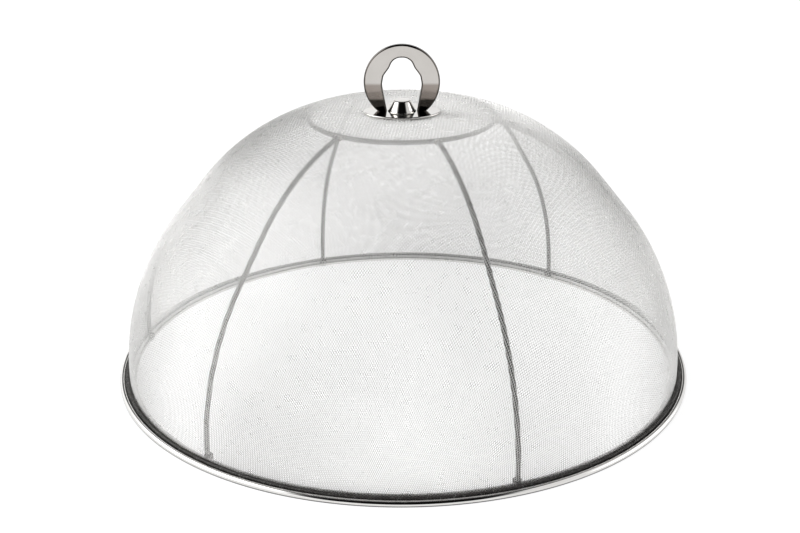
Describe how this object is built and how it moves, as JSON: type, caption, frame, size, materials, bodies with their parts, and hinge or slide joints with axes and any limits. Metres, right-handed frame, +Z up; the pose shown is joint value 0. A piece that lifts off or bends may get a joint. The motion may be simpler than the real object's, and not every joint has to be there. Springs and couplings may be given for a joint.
{
  "type": "mesh food cover",
  "caption": "Domed cover of woven steel mesh on a wire frame, with a clamped rim and an upright ring handle, to keep insects off food.",
  "frame": {"origin": "centre of the rim's underside, on the surface that the cover stands on", "axes": "+Z up along the dome's axis; the handle plate lies in the XZ plane; -Y towards the front of the picture"},
  "size_m": [0.3, 0.3, 0.1701],
  "materials": {
    "polished_steel": "polished",
    "wire_steel": "bright drawn wire",
    "weld_steel": "dull weld",
    "woven_mesh": "plain woven wire",
    "dark_ring": "satin black"
  },
  "bodies": {
    "root": {"rim_channel": "polished_steel", "clamp_ring": "dark_ring", "base_hoop": "wire_steel", "mesh_dome": "woven_mesh", "crown_ring": "wire_steel", "rib_1": "wire_steel", "rib_2": "wire_steel", "rib_3": "wire_steel", "rib_4": "wire_steel", "rib_5": "wire_steel", "rib_6": "wire_steel", "crown_welds": "weld_steel", "foot_welds": "weld_steel", "handle_plate": "polished_steel", "handle_base": "polished_steel", "handle_boss": "polished_steel", "clamp_disc": "wire_steel", "spring_washer": "wire_steel", "handle_screw": "wire_steel"}
  },
  "joints": []
}
